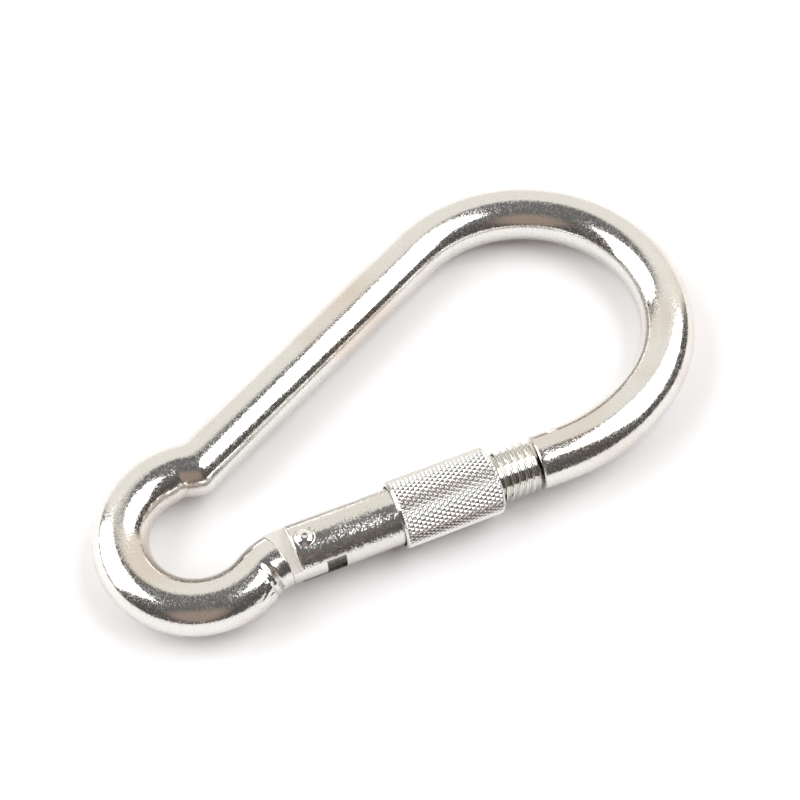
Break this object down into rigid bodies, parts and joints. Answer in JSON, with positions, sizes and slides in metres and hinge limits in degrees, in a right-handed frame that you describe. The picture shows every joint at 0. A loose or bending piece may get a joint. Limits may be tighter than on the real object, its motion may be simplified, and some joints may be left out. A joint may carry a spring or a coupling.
{
  "type": "screw-lock spring hook",
  "caption": "Pear-shaped round-wire snap hook with a small eye, a sprung hinged gate on a rivet and a knurled sleeve nut that screws over the nose.",
  "frame": {"origin": "centre of the overall box, at the height of the locking nut's underside", "axes": "+X along the load line from the small eye to the bow, +Y from the gate side to the spine side, +Z normal to the hook's plane"},
  "size_m": [0.16, 0.0808, 0.0162],
  "materials": {
    "polished_steel": "bright polished stainless steel, lightly tumbled",
    "nut_steel": "satin stainless steel with a diamond knurl",
    "rivet_steel": "satin peened rivet",
    "spring_steel": "drawn spring wire",
    "plunger_steel": "turned pin"
  },
  "bodies": {
    "hook": {"hook_body": "polished_steel"},
    "gate": {"gate": "polished_steel", "hinge_rivet": "rivet_steel", "gate_spring": "spring_steel"},
    "nut": {"lock_nut": "nut_steel"},
    "plunger": {"spring_plunger": "plunger_steel"}
  },
  "joints": [
    {"name": "gate_swing", "type": "hinge", "parent": "hook", "child": "gate", "pos_m": [-0.038, -0.01758, 0.0081], "axis": [0, 0, 1], "range_deg": [0, 32], "stiffness_Nm_per_rad": 0.07, "springref_deg": -22.92},
    {"name": "nut_travel", "type": "slide", "parent": "gate", "child": "nut", "axis": [0.9725, -0.233, 0], "range_m": [0, 0.0138]},
    {"name": "plunger_push", "type": "slide", "parent": "gate", "child": "plunger", "axis": [0.9725, -0.233, 0], "range_m": [0, 0.0026], "deforming": ["gate_spring"]}
  ],
  "couplings": [
    {"joint": "plunger_push", "follows": "gate_swing", "m_per_rad": 0.0046}
  ]
}
